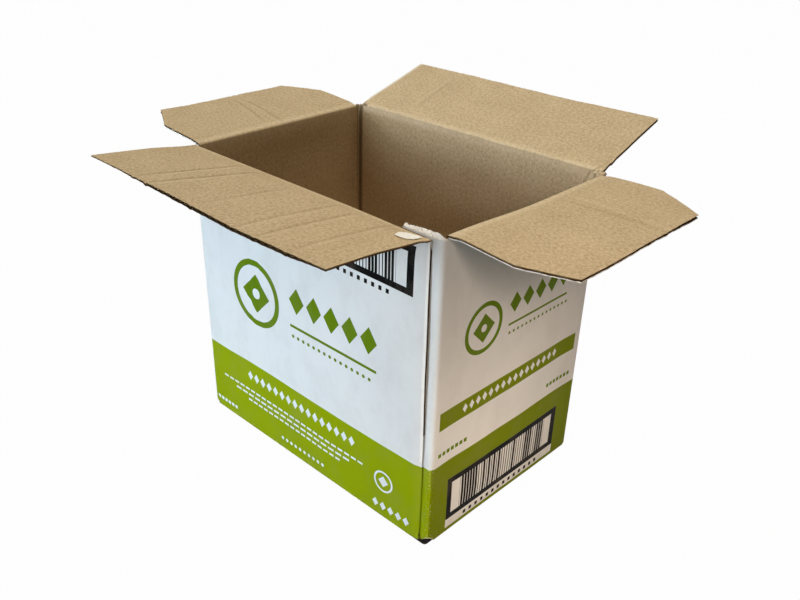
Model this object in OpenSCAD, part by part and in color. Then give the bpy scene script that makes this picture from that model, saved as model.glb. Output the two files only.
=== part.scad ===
// Open carton folded from one sheet of corrugated board: four walls closed by a glue tab,
// a glued base and four top flaps on their folds, standing open.
// The front long panel faces -Y, the glued corner is at +X -Y, Z is up and the origin
// lies in the middle of the base.

/* [Box] */
// Outside length, along the long panels
box_l = 260; // [220:1:400]
// Outside width, along the end panels
box_w = 180; // [150:1:300]
// Height of the long panels' top fold above the ground
fold_h = 245; // [120:1:400]

/* [Board] */
// Thickness of the corrugated board
board_t = 3; // [2.5:0.1:4]
// Thickness of each facing sheet
liner_t = 0.4; // [0.2:0.05:0.5]
// Thickness of the fluted sheet between the facings
medium_t = 0.35; // [0.2:0.05:0.5]
// Distance from one flute to the next
flute_p = 6.5; // [5.5:0.1:9]
// Sideways run of a flute's flank from facing to facing
flank_w = 1.5; // [0.8:0.1:2]

/* [Folds] */
// Inside radius of the four upright folds
crease_r = 0.5; // [0.3:0.1:1.5]
// Radius of the lower edges of the walls
foot_r = 2; // [1:0.1:2.4]
// Play along the fold line of a top flap
fold_gap = 0.4; // [0.3:0.05:0.8]
// Play between shut end flaps and the long flaps over them
stack_gap = 0.3; // [0.2:0.05:1]
// Play between a flap's side and the upright fold beside it
side_gap = 0.5; // [0.4:0.1:3]
// Depth of the corner slots below the end panels' folds
slot_drop = 1; // [0.5:0.1:4]
// Width of flattened board along a fold, where the flutes end
crush_l = 8; // [5:0.5:15]

/* [Flaps] */
// Gap left between the long flaps when they are shut
seam_gap = 10; // [2:0.5:60]
// Corner cut of an end flap, along its outer edge
cut_u = 18; // [5:0.5:30]
// Corner cut of an end flap, along its side
cut_v = 36; // [5:0.5:50]

/* [Glue tab] */
// Length of the tab behind the front panel, from the corner
tab_l = 34.5; // [25:0.5:60]
// Strip of the tab in view between the corner and the front panel's cut edge
tab_show = 8; // [6:0.5:15]
// Depth of the open flutes in the tab's cut top
tab_flute_l = 10; // [4:0.5:40]

/* [Base] */
// Radius of the hole that the slots leave at the foot of each upright fold
notch_r = 4; // [2:0.5:5]
// Height of that hole's centre above the ground
notch_z = 1; // [0:0.25:3]

/* [Open pose] */
// Lift of the front flap above level, in degrees
front_lift = 2.5; // [-80:0.5:90]
// Lift of the back flap above level, in degrees
back_lift = 14; // [-80:0.5:90]
// Lift of the left end flap above level, in degrees
left_lift = 4; // [-80:0.5:90]
// Lift of the right end flap above level, in degrees
right_lift = 0.5; // [-80:0.5:90]

/* [Hidden] */
$fn = 48;

half_l = box_l / 2;
half_w = box_w / 2;
corner_r = crease_r + board_t;
// The end flaps shut first, so their folds lie one board below the long panels' folds
end_fold_h = fold_h - board_t - stack_gap;
post_h = end_fold_h - slot_drop;
flap_d = (box_w - seam_gap) / 2;
// Setback of a flap's side from the outside corner, and the same beside the tab's fold
slot_w = corner_r + side_gap;
tab_slot_w = slot_w + board_t;
// Where the fold of the tab ends and the right end panel begins
tab_fold_y = board_t + corner_r - half_w;
// The fluted sheet's flank: its lean, and the strip it takes from a pair of channels
core_h = board_t - 2 * liner_t - medium_t;
lean = atan(flank_w / core_h);
web = medium_t * (1 / cos(lean) - tan(lean));
// Overshoot of the cutting shapes
over = 0.2;
kraft = [0.74, 0.63, 0.45];
chalk = [0.86, 0.89, 0.91];

// One air channel of the board, centred on x = 0, its wide side against the facing at the top
module channel(pitch) {
    wide = (pitch / 2 + flank_w - web) / 2;
    slim = wide - flank_w;
    top = board_t - liner_t;
    polygon([[-wide, top], [wide, top], [slim, top - core_h], [-slim, top - core_h]]);
}

// The row of channels in a width of board; both ends are cut through the middle of a channel
module channels(width) {
    count = round(width / flute_p);
    pitch = width / count;
    for (i = [0 : count])
        translate([i * pitch, 0])
            channel(pitch);
    for (i = [1 : count])
        translate([(i - 0.5) * pitch, board_t])
            mirror([0, 1])
                channel(pitch);
}

// Trims one outer corner of an end flap; side is 1 or -1
module corner_trim(reach, side) {
    mirror([side < 0 ? 1 : 0, 0, 0])
        translate([reach, flap_d, -over])
            linear_extrude(board_t + 2 * over)
                polygon([[-1.1 * cut_u, 0.1 * cut_v], [0.1 * cut_u, -1.1 * cut_v], [cut_u, cut_v]]);
}

// A flap lying level: fold line on the X axis, printed face down at z = 0, reaching out along +Y.
// The root is mitred so that it can fold flat inwards and hang against the wall outwards.
module flap(left, right, trimmed) {
    difference() {
        translate([-left, 0, 0])
            rotate([90, 0, 90])
                linear_extrude(left + right)
                    polygon([[fold_gap, 0], [flap_d, 0], [flap_d, board_t], [fold_gap + board_t, board_t]]);
        translate([-left, flap_d + over, 0])
            rotate([90, 0, 0])
                linear_extrude(flap_d + over - crush_l)
                    channels(left + right);
        if (trimmed) {
            corner_trim(left, -1);
            corner_trim(right, 1);
        }
    }
}

// Sets a level flap on its fold line, turned outwards and lifted
module on_fold(place, turn, lift) {
    translate(place)
        rotate([0, 0, turn])
            rotate([lift, 0, 0])
                children();
}

module front_flap() {
    color(kraft)
        on_fold([0, -half_w, fold_h], 180, front_lift)
            flap(half_l - tab_show, half_l - slot_w, false);
}

module back_flap() {
    color(kraft)
        on_fold([0, half_w, fold_h], 0, back_lift)
            flap(half_l - slot_w, half_l - slot_w, false);
}

module left_flap() {
    color(kraft)
        on_fold([-half_l, 0, end_fold_h], 90, left_lift)
            flap(half_w - slot_w, half_w - slot_w, true);
}

module right_flap() {
    color(kraft)
        on_fold([half_l, 0, end_fold_h], -90, right_lift)
            flap(half_w - slot_w, half_w - tab_slot_w, true);
}

// Plan of an upright fold: a quarter of a ring of board
module upright_fold(place, turn) {
    translate(place)
        rotate(turn)
            intersection() {
                difference() {
                    circle(corner_r);
                    circle(crease_r);
                }
                square(corner_r + over);
            }
}

// A flute laid open by a cut along it, in plan, printed face at y = 0, cut edge at x = 0
module open_flute() {
    channel(flute_p);
}

// Plan of the walls from the front panel's cut edge round to the glued corner
module walls_plan() {
    upright_fold([half_l - corner_r, half_w - corner_r], 0);
    upright_fold([corner_r - half_l, half_w - corner_r], 90);
    upright_fold([corner_r - half_l, corner_r - half_w], 180);
    translate([corner_r - half_l, half_w - board_t])
        square([box_l - 2 * corner_r, board_t]);
    translate([-half_l, corner_r - half_w])
        square([board_t, box_w - 2 * corner_r]);
    translate([half_l - board_t, tab_fold_y])
        square([board_t, half_w - corner_r - tab_fold_y]);
    difference() {
        translate([corner_r - half_l, -half_w])
            square([box_l - corner_r - tab_show, board_t]);
        translate([half_l - tab_show, -half_w])
            open_flute();
    }
}

// Plan of the glue tab: it turns the corner one board further in and lies behind the front panel
module tab_plan() {
    upright_fold([half_l - corner_r, tab_fold_y], 270);
    difference() {
        translate([half_l - tab_l, board_t - half_w])
            square([tab_l - corner_r, board_t]);
        translate([half_l - tab_l, board_t - half_w])
            open_flute();
    }
}

// The flutes that show in the cut top of the tab, short of its fold
module tab_flutes() {
    translate([half_l - tab_l, board_t - half_w, post_h - tab_flute_l])
        linear_extrude(tab_flute_l + over)
            channels(tab_l - corner_r - flute_p / 2);
}

// Takes the mitre off a wall's top: fold line on the X axis, board from y = 0 in to y = board_t
module top_mitre(from, to) {
    translate([from, 0, 0])
        rotate([90, 0, 90])
            linear_extrude(to - from)
                polygon([[-over, over], [board_t + over, -board_t - over],
                         [board_t + over, fold_h], [-over, fold_h]]);
}

module walls() {
    difference() {
        linear_extrude(fold_h)
            walls_plan();
        translate([0, -half_w, fold_h])
            top_mitre(corner_r - half_l, half_l - tab_show + over);
        translate([0, half_w, fold_h])
            rotate(180)
                top_mitre(corner_r - half_l, half_l - corner_r);
        translate([-half_l, 0, end_fold_h])
            rotate(-90)
                top_mitre(corner_r - half_w, half_w - corner_r);
        translate([half_l, 0, end_fold_h])
            rotate(90)
                top_mitre(tab_fold_y, half_w - corner_r);
        for (x = [-1, 1], y = [-1, 1])
            if (x < 0 || y > 0)
                translate([x * half_l, y * half_w, post_h + fold_h / 2])
                    cube([2 * corner_r, 2 * corner_r, fold_h], center = true);
    }
    difference() {
        linear_extrude(post_h)
            tab_plan();
        tab_flutes();
    }
}

// Base: the long flaps meet edge to edge below the two end flaps
module base() {
    translate([slot_w - half_l, board_t / 2 - half_w, 0])
        cube([box_l - slot_w - tab_show, half_w - board_t / 2, board_t]);
    translate([slot_w - half_l, 0, 0])
        cube([box_l - 2 * slot_w, half_w - board_t / 2, board_t]);
    translate([board_t / 2 - half_l, slot_w - half_w, board_t])
        cube([flap_d - board_t / 2, box_w - 2 * slot_w, board_t]);
    translate([half_l - flap_d, tab_slot_w - half_w, board_t])
        cube([flap_d - board_t / 2, box_w - slot_w - tab_slot_w, board_t]);
}

// Upright outline of the box across one direction, lower corners rounded
module footed(half) {
    translate([-half, foot_r])
        square([2 * half, fold_h]);
    translate([foot_r - half, 0])
        square([2 * (half - foot_r), 2 * foot_r]);
    for (side = [-1, 1])
        translate([side * (half - foot_r), foot_r])
            circle(foot_r);
}

// Hole at the foot of an upright fold, bored along the corner's bisector
module notch(place, turn) {
    translate([place[0], place[1], notch_z])
        rotate([0, 90, turn])
            cylinder(r = notch_r, h = 2 * corner_r);
}

module carton() {
    color(chalk)
        difference() {
            intersection() {
                union() {
                    walls();
                    base();
                }
                translate([-half_l, 0, 0])
                    rotate([90, 0, 90])
                        linear_extrude(box_l)
                            footed(half_w);
                translate([0, half_w, 0])
                    rotate([90, 0, 0])
                        linear_extrude(box_w)
                            footed(half_l);
            }
            notch([half_l - corner_r, half_w - corner_r], 45);
            notch([corner_r - half_l, half_w - corner_r], 135);
            notch([corner_r - half_l, corner_r - half_w], 225);
            notch([half_l - corner_r, tab_fold_y], 315);
        }
}

carton();
front_flap();
back_flap();
left_flap();
right_flap();
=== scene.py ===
import math

import bmesh
import bpy
from mathutils import Matrix, Vector, noise
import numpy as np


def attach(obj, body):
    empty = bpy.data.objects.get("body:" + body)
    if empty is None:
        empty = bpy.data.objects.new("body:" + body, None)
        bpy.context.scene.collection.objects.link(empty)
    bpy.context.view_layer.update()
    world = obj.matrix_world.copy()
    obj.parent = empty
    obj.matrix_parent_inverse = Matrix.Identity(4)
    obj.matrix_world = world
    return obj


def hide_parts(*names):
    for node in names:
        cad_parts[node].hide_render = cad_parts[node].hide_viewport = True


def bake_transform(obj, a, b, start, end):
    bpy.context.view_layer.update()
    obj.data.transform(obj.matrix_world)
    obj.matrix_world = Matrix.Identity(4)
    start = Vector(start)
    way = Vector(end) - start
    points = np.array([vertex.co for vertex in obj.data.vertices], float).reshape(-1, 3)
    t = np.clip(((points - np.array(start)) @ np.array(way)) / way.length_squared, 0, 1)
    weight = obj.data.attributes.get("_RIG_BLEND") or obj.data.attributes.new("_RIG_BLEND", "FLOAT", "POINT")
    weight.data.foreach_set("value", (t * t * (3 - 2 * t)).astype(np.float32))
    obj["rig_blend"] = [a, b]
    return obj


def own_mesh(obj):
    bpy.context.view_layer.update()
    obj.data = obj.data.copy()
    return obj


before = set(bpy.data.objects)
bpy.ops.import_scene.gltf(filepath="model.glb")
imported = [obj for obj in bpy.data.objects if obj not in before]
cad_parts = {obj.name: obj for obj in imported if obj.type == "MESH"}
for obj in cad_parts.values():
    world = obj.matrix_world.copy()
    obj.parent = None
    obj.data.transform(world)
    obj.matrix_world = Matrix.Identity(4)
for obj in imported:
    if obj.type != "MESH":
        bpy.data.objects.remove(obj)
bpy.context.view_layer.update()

# The walls: four panels and a glue tab of one sheet of single-wall corrugated board, white and
# printed outside, plain kraft inside. The sheet turns round four scored folds and is closed by
# gluing the tab behind the front panel, whose cut edge stays in view. All sizes are in mm.
half_l, half_w, board = 130.0, 90.0, 3.0
long_fold, end_fold, post_top = 245.0, 241.7, 240.7
fold_r, foot_r, right_foot_r = 3.5, 2.0, 0.8
tab_l, tab_show = 34.5, 8.0
notch_r, notch_z, notch_reach = 4.0, 1.0, 24.0
flute = 6.5
column, arc_steps = 3.0, 6
PRINT, KRAFT, RAW, FLUTE_AND_SHADE, TORN = range(5)

walls = bmesh.new()
along = walls.verts.layers.float.new("along")
up = walls.verts.layers.float.new("up")
tip = walls.verts.new((half_l - tab_l, board - half_w, 0))
runs = [((1, 0, 0), [31.0]), ((0, 1, 0), [0.5, 169.0, 0.5]), ((-1, 0, 0), [0.5, 252.0, 0.5]),
        ((0, -1, 0), [0.5, 172.0, 0.5]), ((1, 0, 0), [0.5, 248.0])]
corners = []
for number, (heading, lengths) in enumerate(runs):
    for length in lengths:
        count = max(1, round(length / column))
        for _ in range(count):
            ahead = bmesh.ops.extrude_vert_indiv(walls, verts=[tip])["verts"][0]
            bmesh.ops.translate(walls, vec=Vector(heading) * length / count, verts=[ahead])
            ahead[along] = tip[along] + length / count
            tip = ahead
    if number < len(runs) - 1:
        centre = tip.co + fold_r * Vector((-heading[1], heading[0], 0))
        bmesh.ops.spin(walls, geom=[tip], cent=centre, axis=(0, 0, 1), angle=math.pi / 2,
                       steps=arc_steps)
        walls.verts.ensure_lookup_table()
        start = tip[along]
        corners.append(start + fold_r * math.pi / 4)
        for i, vert in enumerate(walls.verts[-arc_steps:], 1):
            vert[along] = start + fold_r * math.pi / 2 * i / arc_steps
        tip = walls.verts[-1]
sheet_end = tip[along]
front_mid = sheet_end - (half_l - tab_show)
right_mid = corners[0] + fold_r * math.pi / 4 - board - fold_r + half_w
back_mid = (corners[1] + corners[2]) / 2
left_mid = (corners[2] + corners[3]) / 2


def raise_edge(bm, edges, rise):
    """Draws a row of edges up by rise and returns the new upper edges."""
    made = bmesh.ops.extrude_edge_only(bm, edges=edges)["geom"]
    verts = {g for g in made if isinstance(g, bmesh.types.BMVert)}
    bmesh.ops.translate(bm, vec=(0, 0, rise), verts=list(verts))
    return [g for g in made if isinstance(g, bmesh.types.BMEdge) and set(g.verts) <= verts]


def below_long_flap(vert):
    return abs(vert.co.y) > half_w - 0.1 and abs(vert.co.x) < half_l - 3.9


def below_end_flap(vert):
    low_side = -86.1 if vert.co.x < 0 else -83.1
    return abs(vert.co.x) > half_l - 0.1 and low_side < vert.co.y < 86.1


levels = [0.0, 0.3, 0.8, 1.4, 2.0, 5.0] + [5.0 + 6.0 * i for i in range(1, 39)] + [237.0, post_top]
rim = walls.edges[:]
for low, high in zip(levels, levels[1:]):
    rim = raise_edge(walls, rim, high - low)
# The long panels go on up to their folds in two steps, the end panels in one
half_step = 2.3
upper = raise_edge(walls, [e for e in rim if all(map(below_long_flap, e.verts))], half_step)
raise_edge(walls, upper, long_fold - post_top - half_step)
raise_edge(walls, [e for e in rim if all(map(below_end_flap, e.verts))], end_fold - post_top)
bmesh.ops.reverse_faces(walls, faces=walls.faces[:])
walls.normal_update()


def ease(value, low, high):
    """Smooth step from 0 at low to 1 at high."""
    t = min(1.0, max(0.0, (value - low) / (high - low)))
    return t * t * (3 - 2 * t)


# Pressed lines on the front panel: place along x, lower and upper end, depth, half width
front_creases = [(-66.0, 95, 246, 0.8, 3.2), (-55.5, 60, 246, 0.7, 3.0), (16.0, 110, 240, 0.45, 3.2)]


def wall_bow(u, z):
    """How far the printed face stands out of its flat plane."""
    nearest = min(abs(u - c) for c in corners)
    free = ease(nearest, 3, 30) * ease(z, 2, 30) * ease(long_fold - z, 4, 40)
    swell = 1.5 * noise.noise(Vector((u / 95, z / 80, 1.7)))
    swell += 0.35 * noise.noise(Vector((u / 30, z / 34, 5.2)))
    bow = free * swell
    # The right panel bulges towards its back edge
    bulge = ease(u, right_mid - 60, corners[1] - 3) * ease(corners[1] + 2.7 - u, 0, 5.4)
    bow += bulge * ease(long_fold - z, 4, 40)
    # The front panel's top leans in below its flap, but not at its two ends
    lean = (0.8 + 1.2 * ease(u - front_mid, 40, 110)) * ease(u - corners[3], 3, 16)
    bow -= lean * (1 - ease(u, sheet_end - 7, sheet_end - 1)) * ease(z, 229, 244)
    for x, low, high, depth, width in front_creases:
        near = max(0.0, 1 - abs(u - front_mid - x) / width)
        bow -= depth * near * ease(z, low, low + 40) * ease(high - z, 0, 30)
    return bow


def top_shift(u):
    """How far a panel's top stands above its fold: the front one has sunk, most at its right end,
    the right one rises at the torn corner, and the back left corner stands up between its flaps."""
    if u > corners[3]:
        return -1.3 * ease(u - corners[3], 1, 6) - 1.1 * ease(u - front_mid, 40, 122)
    if u < right_mid + 20:
        return 3.4 * ease(right_mid - u, -10, 80)
    return 3.6 * (1 - ease(abs(u - corners[2]), 1.4, 3.2))


for vert in walls.verts:
    vert[up] = vert.co.z
places = []
for vert in walls.verts:
    near = min(abs(vert[along] - c) for c in corners)
    arch = notch_z + math.sqrt(notch_r ** 2 - near ** 2) if near < notch_r else 0.0
    # The hole at the back right foot is pressed nearly shut
    if abs(vert[along] - corners[1]) < notch_r:
        arch *= 0.1
    z = vert.co.z
    if z < notch_reach:
        z = arch + z * (1 - arch / notch_reach)
    round_r = right_foot_r if corners[0] - 3 < vert[along] < corners[1] - 3 else foot_r
    tuck = round_r - math.sqrt(round_r ** 2 - (round_r - z) ** 2) if z < round_r else 0.0
    face_out = Vector((vert.normal.x, vert.normal.y, 0)).normalized()
    spot = vert.co + face_out * (wall_bow(vert[along], vert.co.z) - tuck)
    spot.z = z + top_shift(vert[along]) * ease(z, 195, 241)
    places.append(spot)
for vert, spot in zip(walls.verts, places):
    vert.co = spot
walls.normal_update()


def thicken(bm, thickness, outer, inner, side=RAW):
    """Gives an open sheet its thickness, behind its faces; outer, inner and cut sides differ."""
    shown = set(bm.verts)
    bmesh.ops.solidify(bm, geom=bm.faces[:], thickness=thickness)
    for face in bm.faces:
        kept = sum(vert in shown for vert in face.verts)
        face.material_index = outer if kept == len(face.verts) else inner if kept == 0 else side
    return shown


shown = thicken(walls, board, PRINT, KRAFT)
walls.normal_update()
# The score of a top fold presses the board thin, and the front panel's cut edge is pressed too and
# leans off the corner towards its top
front_score, score, score_reach = 1.0, 2.0, 9.0
edge_press, edge_reach = 1.5, 7.0
edge_lean, lean_reach = 1.4, 12.0
for vert in walls.verts:
    flat = Vector((vert.normal.x, vert.normal.y, 0)).normalized()
    fold = end_fold if abs(vert.co.x) > half_l - 4 else long_fold
    if vert not in shown and vert[up] > fold - score_reach:
        thin = front_score if vert[along] > corners[3] else score
        vert.co -= flat * (board - thin) * (1 - ease(fold - vert[up], 0, score_reach))
    if vert in shown and vert[along] > sheet_end - edge_reach:
        vert.co.y += edge_press * ease(vert[along], sheet_end - edge_reach, sheet_end)
    vert.co.x -= edge_lean * ease(vert[up], 150, 243) * ease(vert[along], sheet_end - lean_reach, sheet_end)
walls.normal_update()
# The tops below the flaps are hollow, so that a shut flap lies over them
top_hollow, flute_depth, liner_edge = 1.2, 6.0, 0.3
top_faces = [f for f in walls.faces if f.material_index == RAW and f.normal.z > 0.7
             and f.calc_center_median().z > post_top + 0.4]
across = {e for f in top_faces for e in f.edges if len(set(e.verts) & shown) == 1}
split = bmesh.ops.subdivide_edges(walls, edges=list(across), cuts=1)
bmesh.ops.translate(walls, vec=(0, 0, -top_hollow),
                    verts=[g for g in split["geom_inner"] if isinstance(g, bmesh.types.BMVert)])
# A flute lies open along both upright cut edges; its faces take the dark fluted finish, painted shade inside
# the open flute.
for end, inward in ((sheet_end, -flute_depth), (0.0, flute_depth)):
    cut = [f for f in walls.faces if f.material_index == RAW and abs(f.normal.x) > 0.7
           and all(abs(v[along] - end) < 0.01 for v in f.verts)]
    bmesh.ops.inset_region(walls, faces=cut, thickness=liner_edge, use_even_offset=True)
    bmesh.ops.translate(walls, vec=(inward, 0, 0), verts=list({v for f in cut for v in f.verts}))
    for face in walls.faces:
        if face.material_index == RAW and all(abs(v[along] - end) < 0.01 for v in face.verts):
            face.material_index = FLUTE_AND_SHADE


class Ink:
    """A value that varies over the board; sums on it add Math nodes to its material."""

    def __init__(self, tree, socket=None):
        self.tree, self.socket = tree, socket

    def node(self, kind, settings=(), values=(), out=0):
        made = self.tree.nodes.new("ShaderNode" + kind)
        for key, value in dict(settings).items():
            setattr(made, key, value)
        for key, value in dict(values).items():
            if isinstance(value, Ink):
                self.tree.links.new(value.socket, made.inputs[key])
            else:
                made.inputs[key].default_value = value
        return Ink(self.tree, made.outputs[out])

    def sum(self, operation, *values, clamp=False):
        return self.node("Math", {"operation": operation, "use_clamp": clamp}, dict(enumerate(values)))

    def __add__(self, other):
        return self.sum("ADD", self, other)

    def __sub__(self, other):
        return self.sum("SUBTRACT", self, other)

    def __rsub__(self, other):
        return self.sum("SUBTRACT", other, self)

    def __mul__(self, other):
        return self.sum("MULTIPLY", self, other)

    __radd__, __rmul__ = __add__, __mul__

    def __abs__(self):
        return self.sum("ABSOLUTE", self)

    def least(self, other):
        return self.sum("MINIMUM", self, other)

    def most(self, other):
        return self.sum("MAXIMUM", self, other)

    def inside(self, soft=0.15):
        """1 where a distance in mm is above zero, with an edge of that softness."""
        return self.sum("MULTIPLY_ADD", self, 1 / soft, 0.5, clamp=True)

    def over(self, ground, colour):
        """Ground with this mask's colour laid over it."""
        return self.node("Mix", {"data_type": "RGBA"}, {0: self, 6: ground, 7: colour}, out=2)

    def grain(self, u, v, size, detail=2.0, rough=0.5, stretch=1.0):
        """Soft noise from 0 to 1 with spots of about that size in mm."""
        spot = self.node("CombineXYZ", (), {0: u * (1 / size), 1: v * (1 / (size * stretch))})
        return self.node("TexNoise", {"noise_dimensions": "2D"},
                         {"Vector": spot, "Scale": 1.0, "Detail": detail, "Roughness": rough})

    def feed(self, shader, name):
        self.tree.links.new(self.socket, shader.inputs[name])


def new_finish(name, roughness):
    """A material, its shader, and the place on the flat sheet in mm."""
    finish = bpy.data.materials.new(name)
    finish.use_nodes = True
    tree = finish.node_tree
    shader = tree.nodes["Principled BSDF"]
    shader.inputs["Roughness"].default_value = roughness
    shader.inputs["Specular IOR Level"].default_value = 0.05
    place = Ink(tree).node("UVMap", {"uv_map": "sheet"})
    u = place.node("SeparateXYZ", (), {0: place}, out=0) * 1000
    v = place.node("SeparateXYZ", (), {0: place}, out=1) * 1000
    return finish, shader, u, v


def srgb(red, green, blue):
    """Colour from 0-255 screen values."""
    return tuple(((c / 255 + 0.055) / 1.055) ** 2.4 for c in (red, green, blue)) + (1.0,)


# Shapes of the print, each as the distance in mm that a place lies inside its outline
def block(x, z, left, right, low, high):
    return (x - left).least(right - x).least((z - low).least(high - z))


def lozenge(x, z, mid_x, mid_z, reach, rise):
    return (1 - abs(x - mid_x) * (1 / reach) - abs(z - mid_z) * (1 / rise)) * min(reach, rise)


def disc(x, z, mid_x, mid_z, radius):
    far = x.sum("SQRT", (x - mid_x) * (x - mid_x) + (z - mid_z) * (z - mid_z))
    return radius - far


def ring(x, z, mid_x, mid_z, radius, width):
    return disc(x, z, mid_x, mid_z, radius).least(0 - disc(x, z, mid_x, mid_z, radius - width))


def ringed_lozenge(x, z, mid_x, mid_z, radius, width, reach, hole):
    core = lozenge(x, z, mid_x, mid_z, reach, reach).least(0 - disc(x, z, mid_x, mid_z, hole))
    return ring(x, z, mid_x, mid_z, radius, width).most(core)


def in_row(x, first, pitch, count):
    """Place within the cells of a row, and the row's own extent as a distance."""
    cell = x.sum("WRAP", x - first, pitch / 2, -pitch / 2)
    return cell, (x - (first - pitch / 2)).least(first + (count - 0.5) * pitch - x)


def row_of(shape, x, z, first, pitch, count, *sizes):
    cell, extent = in_row(x, first, pitch, count)
    return shape(cell, z, 0.0, *sizes).least(extent)


def dashes(cell, z, mid_x, mid_z, reach, rise):
    return (reach - abs(cell - mid_x)).least(rise - abs(z - mid_z))


def bar_frame(x, z, left, low, high):
    """A heavy frame round upright bars of mixed widths, and a row of small squares below it."""
    right, rim_w = left + 135, 5.0
    frame_bar = block(x, z, left, right, low, high).least(
        0 - block(x, z, left + rim_w, right - 1.25 * rim_w, low + rim_w, high - rim_w))
    step = x.sum("FLOOR", (x - left) * (1 / 3.1))
    toss = x.node("TexWhiteNoise", {"noise_dimensions": "1D"}, {"W": step})
    stroke = 0.5 + (toss - 0.5).inside(0.01) * 0.7
    bars = stroke - abs(x.sum("WRAP", x - left, 3.1, 0.0) - 1.4)
    bars = bars.least(block(x, z, left + 14, right - 16, low + rim_w - 1, high - rim_w + 1)).inside()
    ticks = row_of(dashes, x, z, left + 22, 6.9, 14, low - 4.4, 1.5, 1.7)
    return frame_bar.most(ticks).inside().most(bars)


printed, shader, u, v = new_finish("printed_face", 0.42)
shader.inputs["Specular IOR Level"].default_value = 0.02
white, deep_green, black = srgb(232, 236, 237), srgb(98, 128, 14), srgb(12, 12, 14)
x, y = u - front_mid, u - right_mid
on_front = (u - (corners[3] - 3)).inside()
on_right = (corners[1] - u).least(u - corners[0]).inside()
tone = u.grain(u, v, 60, 3.0)
fine = u.grain(u, v, 0.9, 3.0, 0.6)
ground = (tone * 0.6 + fine * 0.25 + 0.05).over(srgb(236, 239, 240), srgb(219, 225, 229))
band_top = 68.5 - on_right * y * 0.0055
band = (band_top - v).least(v + 0.6).inside(0.25)
band_ink = (tone * 0.5 + fine * 0.45).over(srgb(150, 169, 3), srgb(136, 155, 1))
# On the end panel the band's green is darkened further: painted shade of that shaded side.
band_ink = (on_right * 0.85).over(band_ink, srgb(110, 127, 0))
colour = band.over(ground, band_ink)
# Front panel: a ringed lozenge beside rows of lozenges, small white rows in the band
motif = ringed_lozenge(x, v, -58, 139, 29, 5, 17, 4.5)
motif = motif.most(row_of(lozenge, x, v, -8, 19.5, 5, 151, 8.4, 11))
motif = motif.most(block(x, v, -16, 78, 127.2, 129.6))
motif = motif.most(row_of(disc, x, v, -13, 6.0, 15, 119.5, 1.5))
colour = (motif.inside() * on_front).over(colour, deep_green)
light = row_of(lozenge, x, v, -74, 8.4, 16, 54.5, 3.3, 4.6)
light = light.most(row_of(dashes, x, v, -109, 7.4, 24, 39.0, 2.7, 0.9))
light = light.most(row_of(dashes, x, v, -92, 8.6, 17, 33.8, 3.3, 0.9))
light = light.most(row_of(dashes, x, v, -76, 7.0, 17, 28.6, 2.5, 0.9))
light = light.most(row_of(disc, x, v, -33, 5.6, 10, 11.3, 1.6))
light = light.most(ring(x, v, 86, 35, 9.5, 1.6)).most(lozenge(x, v, 86, 35, 5, 5))
light = light.most(row_of(lozenge, x, v, 78, 8.0, 5, 11.3, 3.2, 4.0))
light = light.most(row_of(dashes, x, v, -123, 5.0, 6, 10.2, 1.7, 1.6))
colour = (light.inside() * on_front).over(colour, white)
colour = (bar_frame(x, v, -25.4, 200.0, 237.0) * on_front).over(colour, black)
# End panel: stripe, ringed lozenge and rows, and the framed bars on their white field
colour = (block(y, v, -81, 81, 99.5, 114.5).inside(0.25) * on_right).over(colour, band_ink)
motif = ringed_lozenge(y, v, -40, 166, 20, 3.6, 11.5, 3)
motif = motif.most(row_of(lozenge, y, v, -6, 15.0, 5, 174, 6.4, 8.2))
motif = motif.most(block(y, v, -12, 60, 156.6, 158.4))
motif = motif.most(row_of(disc, y, v, -10, 5.0, 15, 150.5, 1.2))
for first in (-79, 50):
    motif = motif.most(row_of(dashes, y, v, first, 4.6, 7, 78, 1.6, 1.7))
colour = (motif.inside() * on_right).over(colour, deep_green)
light = row_of(lozenge, y, v, -54, 7.2, 16, 107, 2.7, 3.9).most(block(y, v, -68, 67, 4.0, 50.5))
colour = (light.inside() * on_right).over(colour, white)
colour = (bar_frame(y, v, -68, 11.7, 50.5) * on_right).over(colour, black)
# Rubbed ink and dust along the upright folds and the foot, and a painted highlight along the front panel's
# cut edge
edge_rub = (u.grain(u, v, 1.6, 4.0, 0.7) - 0.66).inside(0.06)
near_fold = 2.6 - v
for corner, width in ((corners[0], 3.4), (corners[1], 3.0), (corners[3], 3.0)):
    near_fold = near_fold.most(width - abs(u - corner))
edge_rub = edge_rub * near_fold.inside(4.0)
colour = (edge_rub * 0.8).over(colour, srgb(225, 222, 212))
for corner in corners:
    worn = (1.0 - v).least(4.6 - abs(u - corner)).inside(0.3)
    colour = (worn * 0.85).over(colour, srgb(214, 218, 178))
# A thin pale line just inside the front panel's cut edge is a painted highlight.
painted_edge_highlight = (1.1 - abs(u - sheet_end + 1.0)).least(v - 72).inside(0.6)
colour = (painted_edge_highlight * 0.8).over(colour, srgb(252, 252, 250))
smudge = (u.grain(u, v, 22, 5.0, 0.65, 1.6) - 0.60).inside(0.3)
colour = (smudge * 0.10).over(colour, srgb(150, 140, 125))
colour.feed(shader, "Base Color")
(tone * 0.14 + fine * 0.10 + 0.34).feed(shader, "Roughness")
ripple = u.sum("SINE", u * (2 * math.pi / flute)) * 0.5 + fine * 0.35
u.node("Bump", (), {"Strength": 0.1, "Distance": 0.00025, "Height": ripple}).feed(shader, "Normal")

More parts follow.
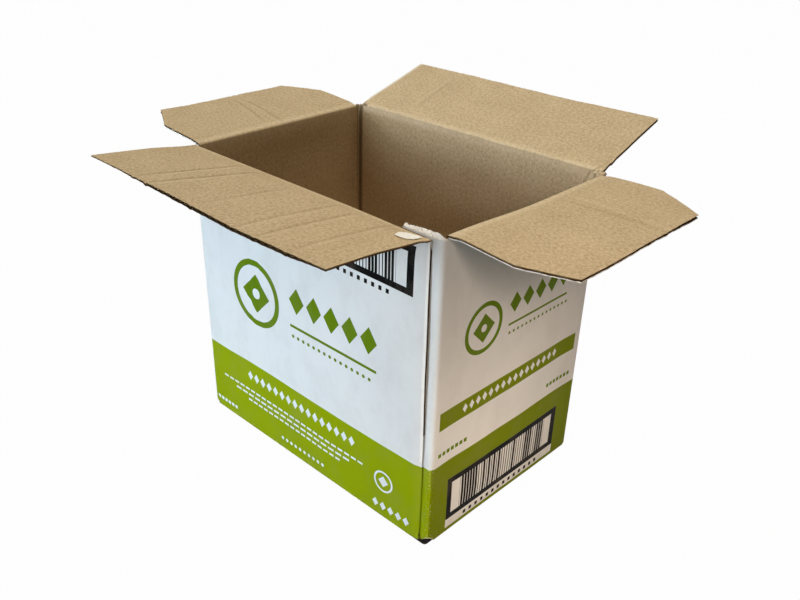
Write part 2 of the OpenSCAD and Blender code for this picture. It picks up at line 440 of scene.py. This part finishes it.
kraft, kraft_shader, u, v = new_finish("kraft_face", 0.82)
cloud = u.grain(u, v, 26, 4.0, 0.55)
fleck = u.grain(u, v, 2.0, 5.0, 0.75, 1.3)
fibre = u.grain(u, v, 0.6, 2.0, 0.6, 4.0)
kraft_tone = (fleck * 2.3 + cloud * 0.4 - 0.85).over(srgb(215, 191, 155), srgb(166, 142, 108))
kraft_tone = ((fibre - 0.57).inside(0.1) * 0.4).over(kraft_tone, srgb(222, 202, 169))
speck = (u.grain(u, v, 1.7, 2.0, 0.5, 2.2) - 0.74).inside(0.05)
kraft_tone = (speck * 0.35).over(kraft_tone, srgb(128, 100, 68))
washboard = u.sum("SINE", u * (2 * math.pi / flute))
kraft_tone = (washboard * 0.03 + 0.03).over(kraft_tone, srgb(150, 124, 88))
# Folds are rubbed paler, partly wear and partly a painted highlight of the rounded fold, and the inner
# creases of the upright ones are painted dark as shade
fold_rub_and_highlight = (1 - abs(v - 243.5) * (1 / 5.5)).most(0.0) * (u.grain(u, v, 3.5, 4.0, 0.7) * 1.6 - 0.35).most(0.0)
kraft_tone = fold_rub_and_highlight.least(0.6).over(kraft_tone, srgb(226, 206, 172))
# Each inner upright corner gets a dark line of painted shade.
for corner, width in zip(corners, (2.6, 2.6, 1.4, 2.6)):
    crease_shade = (width - abs(u - corner)).least(post_top + 1 - v).inside(0.8)
    kraft_tone = (crease_shade * 0.75).over(kraft_tone, srgb(74, 54, 32))
# At the back left the dark line of painted shade lies on the back panel, and the board towards that corner is
# painted darker and browner as shade
back_left_shade = (u - back_mid - 60).inside(120) * (post_top - v).inside(4)
kraft_tone = (back_left_shade * 0.28).over(kraft_tone, srgb(152, 120, 62))
crease_shade = (2.4 - abs(u - corners[2] + 6.4)).least(post_top + 4 - v).inside(2.4)
kraft_tone = (crease_shade * 0.7).over(kraft_tone, srgb(62, 42, 14))
(fleck * 0.2 + 0.72).feed(kraft_shader, "Roughness")
dimple = washboard * 0.2 + fleck
u.node("Bump", (), {"Strength": 0.6, "Distance": 0.00025, "Height": dimple}).feed(kraft_shader, "Normal")

# Cut edges of shredded fibre, the fluted sheet inside the board, its own brown darkened as painted shade of
# its flutes and gaps, and liner torn down to white fibre
raw_edge, shader, cut_along, cut_up = new_finish("cut_board", 0.9)
shred = cut_along.grain(cut_along, cut_up, 0.7, 4.0, 0.7)
(shred * 1.4 - 0.2).over(srgb(170, 143, 104), srgb(104, 80, 52)).feed(shader, "Base Color")
shred.node("Bump", (), {"Strength": 0.6, "Distance": 0.0003, "Height": shred}).feed(shader, "Normal")

fluted_and_shade, shader, cut_along, cut_up = new_finish("fluted_medium_and_shade", 0.9)
shred = cut_along.grain(cut_along, cut_up, 0.8, 4.0, 0.7)
(shred * 1.4 - 0.2).over(srgb(98, 76, 52), srgb(50, 37, 24)).feed(shader, "Base Color")

torn, shader, cut_along, cut_up = new_finish("torn_liner", 0.95)
shred = cut_along.grain(cut_along, cut_up, 1.4, 5.0, 0.75)
torn_tone = (shred * 1.6 - 0.45).over(srgb(255, 253, 248), srgb(240, 233, 220))
pits = (cut_along.grain(cut_along, cut_up, 2.3, 3.0, 0.6) - 0.66).inside(0.05) * (250 - cut_up).inside()
(pits * 0.75).over(torn_tone, srgb(104, 88, 68)).feed(shader, "Base Color")
shred.node("Bump", (), {"Strength": 0.8, "Distance": 0.0004, "Height": shred}).feed(shader, "Normal")


def make_piece(bm, name, sharp=35.0):
    """Turns a finished mesh in mm into an object of the scene, with its place on the flat sheet."""
    flat_u, flat_v = bm.verts.layers.float["along"], bm.verts.layers.float["up"]
    sheet_map = bm.loops.layers.uv.new("sheet")
    for face in bm.faces:
        face.smooth = True
        for loop in face.loops:
            loop[sheet_map].uv = (loop.vert[flat_u] / 1000, loop.vert[flat_v] / 1000)
    for edge in bm.edges:
        edge.smooth = len(edge.link_faces) == 2 and edge.calc_face_angle() < math.radians(sharp)
    bmesh.ops.scale(bm, vec=(0.001, 0.001, 0.001), verts=bm.verts[:])
    mesh = bpy.data.meshes.new(name)
    bm.to_mesh(mesh)
    bm.free()
    for finish in (printed, kraft, raw_edge, fluted_and_shade, torn):
        mesh.materials.append(finish)
    made = bpy.data.objects.new(name, mesh)
    bpy.context.scene.collection.objects.link(made)
    return made


wall_sheet = make_piece(walls, "wall_sheet")
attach(wall_sheet, "carton")
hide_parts("carton")

# The base: the two end flaps lie inside, the two long ones are glued over them from below and meet
# in a seam along the middle. All four are the walls' own board, white below and kraft above.
plates = [("base_front", (-126, 122), (-87.1, -0.35), (0.1, 3.0)),
          ("base_back", (-126, 126), (0.35, 87.1), (0.1, 3.0)),
          ("base_left", (-127.1, -45), (-86, 86), (3.1, 6.0)),
          ("base_right", (45, 127.8), (-83, 86), (3.1, 6.0))]
# Their place on the flat sheet is clear of its folds and its print
clear_u, clear_v = -400, -100
for name, span_x, span_y, span_z in plates:
    plate = bmesh.new()
    size = Vector([b - a for a, b in (span_x, span_y, span_z)])
    mid = Vector([(a + b) / 2 for a, b in (span_x, span_y, span_z)])
    bmesh.ops.create_cube(plate, size=1.0, matrix=Matrix.Translation(mid) @ Matrix.Diagonal(size).to_4x4())
    bmesh.ops.bevel(plate, geom=plate.edges[:], offset=0.5, offset_type="OFFSET", affect="EDGES",
                    segments=2, profile=0.5, material=-1)
    flat_u, flat_v = (plate.verts.layers.float.new(key) for key in ("along", "up"))
    for vert in plate.verts:
        vert[flat_u], vert[flat_v] = vert.co.x + clear_u, vert.co.y + clear_v
    plate.normal_update()
    for face in plate.faces:
        face.material_index = KRAFT if face.normal.z > 0.5 else PRINT if face.normal.z < -0.5 else RAW
    base_plate = make_piece(plate, name)
    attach(base_plate, "carton")

# The top flaps: each goes on from its wall over a scored fold and stands open, kraft side up. The
# board is two liners on a fluted medium, and its cut edges show the open flutes.
flap_d, liner, print_liner, medium = 85.0, 0.4, 0.6, 0.25
cut_u, cut_v = 18.0, 36.0
# What the flaps share, and then what each has of its own: the score and its reach at both ends, the sag,
# and the bend and hump that grow over a span of the fold; the shear, and the nip, trim and flare of both
# sides; the press of the cut edges in the middle and at each end; one corner's droop; the liner's cut side
common = dict(trimmed=False, score=score, reach=(9, 9), sag=0.0, bend=0.0, span=(0, 126), hump=0.0, shear=0.0,
              nip=(0.0, 0.0), trim=(0.0, 0.0), flare=(0.0, 0.0), press=(0.9, 0.0, 0.0), droop=0.0)
flaps = {
    # The front flap's printed liner shows its cut side in the dark fluted finish: painted shade of the gap
    # under its root.
    "front_flap": dict(common, place=(0, -half_w, long_fold), turn=180, lift=2.5, left=122, right=126,
                       mid=front_mid, seed=3.1, score=front_score, reach=(14, 42), bend=2.6, span=(-60, 126),
                       nip=(0.0, -5.0), trim=(0.0, 2.5), press=(0.2, 1.4, 1.9), side=FLUTE_AND_SHADE),
    "back_flap": dict(common, place=(0, half_w, long_fold), turn=0, lift=14, left=126, right=126,
                      mid=back_mid, seed=7.7, shear=-1.6, nip=(4.5, 3.6), side=RAW),
    "left_flap": dict(common, place=(-half_l, 0, end_fold), turn=90, lift=4, left=86, right=86,
                      mid=left_mid, trimmed=True, seed=11.3, sag=-1.5, span=(20, 86), hump=0.4, shear=0.8,
                      trim=(2.2, 0.8), flare=(2.6, 0.0), side=TORN),
    "right_flap": dict(common, place=(half_l, 0, end_fold), turn=-90, lift=0.5, left=86, right=83,
                       mid=right_mid, trimmed=True, seed=17.9, sag=-1.8, span=(0, -86), hump=1.4,
                       trim=(-0.8, 0.0), flare=(0.0, 4.0), droop=0.6, side=TORN),
}
# Lines pressed into the flaps along the flutes: two places on the flat sheet, depth, half width
flaps["front_flap"]["creases"] = [
    (front_mid + a, b, front_mid + c, d, depth, 2.4) for a, b, c, d, depth in
    ((-70.8, 74.5, -57.9, 8.3, 0.8), (-55.3, 78.3, -39.0, 10.2, 1.0), (37.9, 83.4, 47.2, 9.5, 0.5),
     (58.6, 80.4, 64.7, 10.2, 0.6), (88.3, 77.2, 91.5, 5.2, 0.5), (-4.3, 76.0, 3.9, 11.9, 0.35))]
flaps["left_flap"]["creases"] = [(left_mid - 4.6, 67.8, left_mid + 9.6, 11.4, 0.45, 2.4),
                                 (left_mid - 11.9, 58.7, left_mid - 3.0, 2.9, 0.45, 2.4)]
flaps["right_flap"]["creases"] = [(right_mid + 29.0, 9.8, right_mid + 27.7, 86.0, 0.4, 2.4),
                                  (right_mid + 23.2, 9.1, right_mid + 24.9, 56.0, 0.4, 2.4)]
flaps["back_flap"]["creases"] = [(back_mid + 68.0, 12.0, back_mid + 74.0, 70.0, 0.35, 2.6),
                                 (back_mid - 117.2, -7.0, back_mid - 120.6, 1.0, 1.5, 1.5),
                                 (back_mid - 122.6, -7.0, back_mid - 126.2, 1.0, 1.5, 1.5)]
# The creases are also painted into the kraft: a dark line along each as painted shade and a pale line beside
# it as painted highlight.
for spec in flaps.values():
    for x0, y0, x1, y1, depth, width in spec["creases"]:
        slope = (x1 - x0) / (y1 - y0)
        off = u - x0 - (v - (spec["place"][2] + y0)) * slope
        reach = (v - spec["place"][2] - min(y0, y1)).least(spec["place"][2] + max(y0, y1) - v)
        line = (1 - abs(off) * (1 / width)).most(0.0) * reach.inside(16.0)
        kraft_tone = (line * min(0.8, depth * 0.5)).over(kraft_tone, srgb(116, 90, 58))
        line = (1 - abs(off - 1.6 * width) * (1 / (1.2 * width))).most(0.0) * reach.inside(16.0)
        kraft_tone = (line * min(0.4, depth * 0.35)).over(kraft_tone, srgb(226, 204, 170))
# The back flap's left side shows a pale rim where its liner is chipped
chipped = (2.2 - abs(u - back_mid - 126)).least(v - long_fold - 4).inside(1.6)
kraft_tone = (chipped * 0.7).over(kraft_tone, srgb(236, 228, 214))
kraft_tone.feed(kraft_shader, "Base Color")


def flap_lift(spec, x, y):
    """How far a flap's board stands above its flat plane at x along the fold and y out from it."""
    out = y / flap_d
    rise = spec["sag"] * out * out + top_shift(spec["mid"] - x) * (1 - ease(y, 0, 60))
    rise += 1.3 * out * noise.noise(Vector((x / 80, y / 70, spec["seed"])))
    rise += 0.3 * ease(y, 4, 16) * noise.noise(Vector((x / 22, y / 30, spec["seed"] + 4)))
    for x0, y0, x1, y1, depth, width in spec["creases"]:
        line = x0 + (x1 - x0) * (y - y0) / (y1 - y0)
        rise -= depth * max(0.0, 1 - abs(spec["mid"] - x - line) / width) * ease(y, 3, 12)
    return rise + (spec["bend"] * out * out + spec["hump"] * 4 * out * (1 - out)) * ease(x, *spec["span"])


def score_reach_at(spec, x):
    """How far out from the fold the score has thinned the board."""
    return spec["reach"][0] + (spec["reach"][1] - spec["reach"][0]) * ease(x, 70, 120)


def flap_drift(spec, x, y):
    """How far a place on a flap has gone along the fold, where the flap was cut or pulled askew."""
    out = y / flap_d
    pulled = (spec["nip"][x > 0] * (1 - out) + spec["trim"][x > 0]) * ease(abs(x), 60, spec["right"])
    return spec["shear"] * out + pulled + spec["flare"][x > 0] * ease(out, 0.5, 1) * ease(abs(x), 20, 64)


def cut_distance(spec, x, y):
    """Distance from a place on a flap to its nearest cut edge."""
    gap = min(x + spec["left"], spec["right"] - x, flap_d - y)
    if spec["trimmed"]:
        for side, reach in ((-1, spec["left"]), (1, spec["right"])):
            slope = Vector((cut_v, cut_u)).normalized()
            gap = min(gap, (reach - side * x) * slope.x + (flap_d - cut_v - y) * slope.y)
    return gap


def board_layer(spec, step_x, step_y, start, stop):
    """A flat grid over a flap's whole outline, fold line on the X axis, reaching out along Y."""
    left, right = spec["left"], spec["right"]
    layer = bmesh.new()
    flat_u, flat_v = (layer.verts.layers.float.new(key) for key in ("along", "up"))
    place = Matrix.Translation(((right - left) / 2, (start + stop) / 2, 0))
    stretch = Matrix.Diagonal(((left + right) / 2, (stop - start) / 2, 1, 1))
    columns, rows = round((left + right) / step_x), round((stop - start) / step_y)
    bmesh.ops.create_grid(layer, x_segments=columns, y_segments=rows, size=1.0, matrix=place @ stretch)
    if spec["trimmed"]:
        for side, reach in ((-1, left), (1, right)):
            bmesh.ops.bisect_plane(layer, geom=layer.verts[:] + layer.edges[:] + layer.faces[:], dist=0.01,
                                   plane_co=(side * reach, flap_d - cut_v, 0),
                                   plane_no=(side * cut_v, cut_u, 0), clear_outer=True)
    for vert in layer.verts:
        vert[flat_u] = spec["mid"] - vert.co.x
        vert[flat_v] = spec["place"][2] + vert.co.y
    return layer


for name, spec in flaps.items():
    left, right, pressed = spec["left"], spec["right"], spec["score"]
    pitch = (left + right) / round((left + right) / flute)
    wave = lambda x: math.cos(2 * math.pi * (x + left) / pitch)
    flap = bmesh.new()
    # Printed liner below, kraft liner above with the round of the fold, fluted medium between
    below = board_layer(spec, 1.7, 3.1, 0.0, flap_d)
    bmesh.ops.reverse_faces(below, faces=below.faces[:])
    above = board_layer(spec, 1.7, 3.1, 0.0, flap_d)
    bmesh.ops.translate(above, vec=(0, 0, pressed), verts=above.verts[:])
    root = [e for e in above.edges if all(abs(v.co.y) < 0.001 for v in e.verts)]
    bmesh.ops.spin(above, geom=root, cent=(0, 0, 0), axis=(1, 0, 0), angle=math.radians(90 - spec["lift"]),
                   steps=6)
    core = board_layer(spec, pitch / 8, 5.0, 1.5, flap_d - 1.2)
    for layer, thickness, *finishes in ((below, print_liner, PRINT, FLUTE_AND_SHADE, spec["side"]),
                                        (above, liner, KRAFT, FLUTE_AND_SHADE, RAW), (core, medium, FLUTE_AND_SHADE, FLUTE_AND_SHADE, RAW)):
        flat_v = layer.verts.layers.float["up"]
        for vert in layer.verts:
            x, y = vert.co.x, vert.co.y
            vert.co.x += flap_drift(spec, x, max(y, 0.0))
            if y < -0.001:
                vert[flat_v] = spec["place"][2] - pressed * math.atan2(-y, vert.co.z)
                vert.co.z += flap_lift(spec, x, 0.0)
                continue
            # Die-cut edges are pressed thin, and so is the board beside the score
            middle, right_end, left_end = spec["press"]
            pinch = middle + right_end * ease(-x, 85, 120) + left_end * ease(x, 20, 100)
            pinch *= (1 - ease(cut_distance(spec, x, y), 0, 4.5)) * ease(y, 2, 10)
            top = pressed + (board - pressed) * ease(y, 0, score_reach_at(spec, x))
            pinch = min(pinch, max(0.0, top - 1.0))
            half = max(0.05, (top - pinch) / 2 - liner - medium / 2)
            rise = flap_lift(spec, x, y)
            ripple = 0.08 * wave(x) * ease(y, 4, 10)
            if layer is below:
                vert.co.z = pinch + rise + ripple - spec["droop"] * ease(-x, 25, 64) * ease(y, 62, flap_d)
            elif layer is above:
                vert.co.z = top + rise + ripple
            else:
                vert.co.z = (top + pinch) / 2 + medium / 2 + half * wave(x) + rise
            ragged = 0.35 if layer is above else 0.5
            fray = noise.noise(Vector((x / 9, ragged * 40, spec["seed"])))
            vert.co.y += ragged * ease(y, 60, flap_d) * fray
        layer.normal_update()
        thicken(layer, thickness, *finishes)
        part = bpy.data.meshes.new(name + "_layer")
        layer.to_mesh(part)
        layer.free()
        flap.from_mesh(part)
        bpy.data.meshes.remove(part)
    fold_line = Matrix.Translation(spec["place"]) @ Matrix.Rotation(math.radians(spec["turn"]), 4, "Z")
    pose = fold_line @ Matrix.Rotation(math.radians(spec["lift"]), 4, "X")
    bmesh.ops.transform(flap, matrix=pose, verts=flap.verts[:])
    flap_sheet = make_piece(flap, name + "_sheet")
    # The bend follows the fold line, which lies lower or higher where the wall's top does
    left_rise, right_rise = top_shift(spec["mid"] + left - 4), top_shift(spec["mid"] - right + 4)
    skew = pressed * (right_rise - left_rise) / (left + right)
    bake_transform(flap_sheet, "carton", name, start=fold_line @ Vector((-left, -pressed, left_rise)) / 1000,
             end=pose @ Vector((-left - skew, 0, pressed + left_rise)) / 1000)
    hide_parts(name)

# The torn corner: where the tab was glued, its cut top stands above the front fold, crushed, white
# outside and with open flutes, and a scrap of the white liner lies torn off on the front flap.
tab_top = bmesh.new()
tab_run, tab_turn = 31.0, fold_r * math.pi / 2


def on_tab(s, depth):
    """Place in plan at s along the tab's outer face from its free end, depth into the board."""
    if s <= tab_run:
        return Vector((half_l - tab_l + s, board - half_w + depth, 0))
    turn = (s - tab_run) / fold_r
    radius = fold_r - depth
    across, deep = radius * math.sin(turn), radius * math.cos(turn)
    return Vector((half_l - fold_r + across, 2 * board + 0.5 - half_w - deep, 0))


def tab_height(s):
    """Height of the torn edge along the tab."""
    height = 245.6 + 1.6 * ease(s, 0, 28) - 1.7 * ease(s, 28, tab_run + tab_turn)
    height += 0.7 * noise.noise(Vector((s / 2.2, 3.3, 0)))
    return height + 0.5 * noise.noise(Vector((s / 0.9, 8.1, 0)))


# Each layer's depth, thickness and finish, then how far it leans in and ends below the torn edge
tab_layers = [(0.0, liner, TORN, False), (board, liner, KRAFT, True), (1.5, medium, FLUTE_AND_SHADE, False)]
layer_lean = {TORN: 1.9, KRAFT: 0.6, FLUTE_AND_SHADE: 1.1}
layer_drop = {TORN: 0.0, KRAFT: 0.8, FLUTE_AND_SHADE: 0.5}
for depth, thickness, outer, flip in tab_layers:
    strip = bmesh.new()
    flat_u, flat_v = (strip.verts.layers.float.new(key) for key in ("along", "up"))
    bmesh.ops.create_grid(strip, x_segments=74, y_segments=7, size=0.5,
                          matrix=Matrix.Translation((0.5, 0.5, 0)))
    if flip:
        bmesh.ops.reverse_faces(strip, faces=strip.faces[:])
    for vert in strip.verts:
        s, t = vert.co.x * (tab_run + tab_turn), vert.co.y
        height = tab_height(s + (0 if outer == TORN else 1.7)) - layer_drop[outer]
        inset = depth + t * layer_lean[outer] * (1 - ease(s, tab_run - 2, tab_run + tab_turn))
        if outer == FLUTE_AND_SHADE:
            inset += 0.95 * (1 - 0.6 * t) * math.cos(2 * math.pi * s / flute)
        else:
            crumple = 0.6 * noise.noise(Vector((s / 5, t * 1.3, depth)))
            inset += t * (crumple + 0.3 * noise.noise(Vector((s / 1.8, t * 3, depth))))
        vert[flat_u], vert[flat_v] = s, post_top + t * 6
        spot = on_tab(s, inset)
        vert.co = Vector((spot.x, spot.y, post_top + t * (height - post_top)))
    strip.normal_update()
    thicken(strip, thickness, outer, FLUTE_AND_SHADE)
    part = bpy.data.meshes.new("tab_layer")
    strip.to_mesh(part)
    strip.free()
    tab_top.from_mesh(part)
    bpy.data.meshes.remove(part)
torn_tab = make_piece(tab_top, "torn_tab_top")
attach(torn_tab, "carton")
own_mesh(torn_tab)

scrap = bmesh.new()
flat_u, flat_v = (scrap.verts.layers.float.new(key) for key in ("along", "up"))
bmesh.ops.create_grid(scrap, x_segments=30, y_segments=8, size=1.0)
front = flaps["front_flap"]
tail, tip_end = Vector((107.4, 16.8)), Vector((116.4, 1.6))
scrap_w, scrap_t = 7.0, 0.18
axis, scrap_mid = (tip_end - tail) / 2, (tail + tip_end) / 2
side = Vector((axis.y, -axis.x)).normalized()
for vert in scrap.verts:
    a, b = vert.co.x, vert.co.y
    wide = scrap_w * max(0.03, 1 - abs(a) ** 1.8) * (1 - 0.15 * a)
    wide += 1.5 * noise.noise(Vector((a * 5, b * 2, 2)))
    spot = scrap_mid + axis * a + side * b * wide
    # It stays clear of the fold, and its sides and its tail curl up
    spot.y = max(spot.y, 1.2 + 0.1 * a)
    curl = 0.25 + 0.9 * max(0.0, abs(b) - 0.4) ** 2 + 0.5 * max(0.0, -a - 0.3)
    curl += 0.15 * noise.noise(Vector((a * 3, b * 3, 5)))
    vert[flat_u], vert[flat_v] = front_mid + spot.x, 262 + spot.y
    top = front_score + (board - front_score) * ease(spot.y, 0, score_reach_at(front, -spot.x))
    vert.co = Vector((-spot.x, spot.y, top + flap_lift(front, -spot.x, spot.y) + curl))
scrap.normal_update()
thicken(scrap, scrap_t, TORN, TORN)
fold_line = Matrix.Translation(front["place"]) @ Matrix.Rotation(math.pi, 4, "Z")
pose = fold_line @ Matrix.Rotation(math.radians(front["lift"]), 4, "X")
bmesh.ops.transform(scrap, matrix=pose, verts=scrap.verts[:])
bmesh.ops.recalc_face_normals(scrap, faces=scrap.faces[:])
liner_scrap = make_piece(scrap, "liner_scrap")
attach(liner_scrap, "front_flap")

# The crushed corner: at the back right the end of the back fold was pressed into a small lump of
# creased liner, which closes the slot between the two flaps there.
lump_place, lump_size = Vector((127.6, 89.2, 243.6)), (5.2, 2.6, 2.8)
lump = bmesh.new()
flat_u, flat_v = (lump.verts.layers.float.new(key) for key in ("along", "up"))
bmesh.ops.create_uvsphere(lump, u_segments=28, v_segments=18, radius=1.0)
for vert in lump.verts:
    fold = Vector((vert.co.x * 1.6, vert.co.y * 2.2, vert.co.z * 2.2))
    swell = 1 + 0.3 * noise.noise(fold) + 0.22 * noise.noise(fold * 2.7)
    vert.co = lump_place + Vector([c * size for c, size in zip(vert.co, lump_size)]) * swell
    vert[flat_u], vert[flat_v] = back_mid - vert.co.x, vert.co.z
for face in lump.faces:
    face.material_index = KRAFT
crushed_corner = make_piece(lump, "crushed_corner", sharp=60.0)
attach(crushed_corner, "carton")
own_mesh(crushed_corner)

# The stage: a floor that looks white but sends back little light, a large cool lamp in front on the
# left with a narrow one below it, a wide lamp overhead, and two narrow warm ones on the right that
# light the end panel below the shadow of its flap. The sky is nearly dark.
floor = bmesh.new()
bmesh.ops.create_grid(floor, x_segments=1, y_segments=1, size=12.0)
floor_mesh = bpy.data.meshes.new("floor")
floor.to_mesh(floor_mesh)
floor.free()
floor_plane = bpy.data.objects.new("floor", floor_mesh)
bpy.context.scene.collection.objects.link(floor_plane)
paper = bpy.data.materials.new("floor_paper")
paper.use_nodes = True
tree = paper.node_tree
shader = tree.nodes["Principled BSDF"]
shader.inputs["Roughness"].default_value = 0.9
shader.inputs["Specular IOR Level"].default_value = 0.0


def seen_ray(tree):
    """1 for rays that show the stage itself: from the camera, off a gloss or through glass."""
    ways = ("Is Camera Ray", "Is Glossy Ray", "Is Transmission Ray")
    straight, gloss, glass = (Ink(tree).node("LightPath", out=way) for way in ways)
    return straight.most(gloss).most(glass)


glow = tree.nodes.new("ShaderNodeEmission")
glow.inputs["Strength"].default_value = 1.0
blend_floor = tree.nodes.new("ShaderNodeMixShader")
# The floor right below the box is painted dark as shade and does not glow for the camera.
spot = Ink(tree).node("TexCoord", out="Object")
across, deep = (spot.node("SeparateXYZ", (), {0: spot}, out=axis) * 1000 for axis in (0, 1))
past_x, past_y = (abs(across) - (half_l - 4)).most(0.0), (abs(deep) - (half_w - 4)).most(0.0)
shade_below_box = (2.8 - past_x.sum("SQRT", past_x * past_x + past_y * past_y)).inside(0.4)
shade_below_box.over((0.22, 0.21, 0.2, 1), (0.03, 0.03, 0.03, 1)).feed(shader, "Base Color")
(seen_ray(tree) * 0.985 * (1 - shade_below_box)).feed(blend_floor, 0)
tree.links.new(shader.outputs[0], blend_floor.inputs[1])
tree.links.new(glow.outputs[0], blend_floor.inputs[2])
tree.links.new(blend_floor.outputs[0], tree.nodes["Material Output"].inputs["Surface"])
floor_mesh.materials.append(paper)

sky = bpy.data.worlds.new("studio_sky")
sky.use_nodes = True
bpy.context.scene.world = sky
tree = sky.node_tree
glow = tree.nodes["Background"]
seen_ray(tree).over((0.02, 0.016, 0.01, 1), (1, 1, 1, 1)).feed(glow, "Color")
glow.inputs["Strength"].default_value = 1.0


def soft_lamp(name, place, aim, size, spread, power, tint):
    lamp = bpy.data.lights.new(name, "AREA")
    lamp.shape, lamp.size = "DISK", size
    lamp.spread = math.radians(spread)
    lamp.energy, lamp.color = power, tint
    held = bpy.data.objects.new(name, lamp)
    held.location = place
    held.rotation_euler = (Vector(aim) - Vector(place)).to_track_quat("-Z", "Y").to_euler()
    bpy.context.scene.collection.objects.link(held)


soft_lamp("front_lamp", (-0.6, -2.2, 0.65), (0, 0, 0.13), 1.2, 180, 27.0, (0.82, 0.92, 1.0))
soft_lamp("low_front_lamp", (-0.6, -1.4, 0.25), (-0.13, -0.09, 0.06), 0.5, 18, 0.33, (0.68, 0.80, 0.90))
soft_lamp("top_lamp", (-0.1, 0.2, 2.3), (0, 0, 0.13), 1.6, 180, 36.2, (1.0, 0.98, 0.88))
soft_lamp("side_lamp", (0.75, -0.45, 0.6), (0.13, -0.03, 0.02), 0.3, 40, 0.205, (1.0, 0.78, 0.60))
soft_lamp("low_side_lamp", (0.8, -0.1, 0.05), (0.13, -0.03, 0.03), 0.25, 26, 0.09, (1.0, 0.78, 0.60))

# The camera, at the photograph's height and angle.
lens = bpy.data.cameras.new("camera")
lens.lens, lens.sensor_width = 38.005, 36.0
lens.shift_x, lens.shift_y = 0.01663, 0.01696
camera = bpy.data.objects.new("camera", lens)
camera.location = (0.42822, -0.44427, 0.44986)
camera.rotation_euler = [math.radians(a) for a in (61.162, -1.016, 44.551)]
bpy.context.scene.collection.objects.link(camera)
bpy.context.scene.camera = camera
bpy.context.scene.view_settings.view_transform = "Standard"
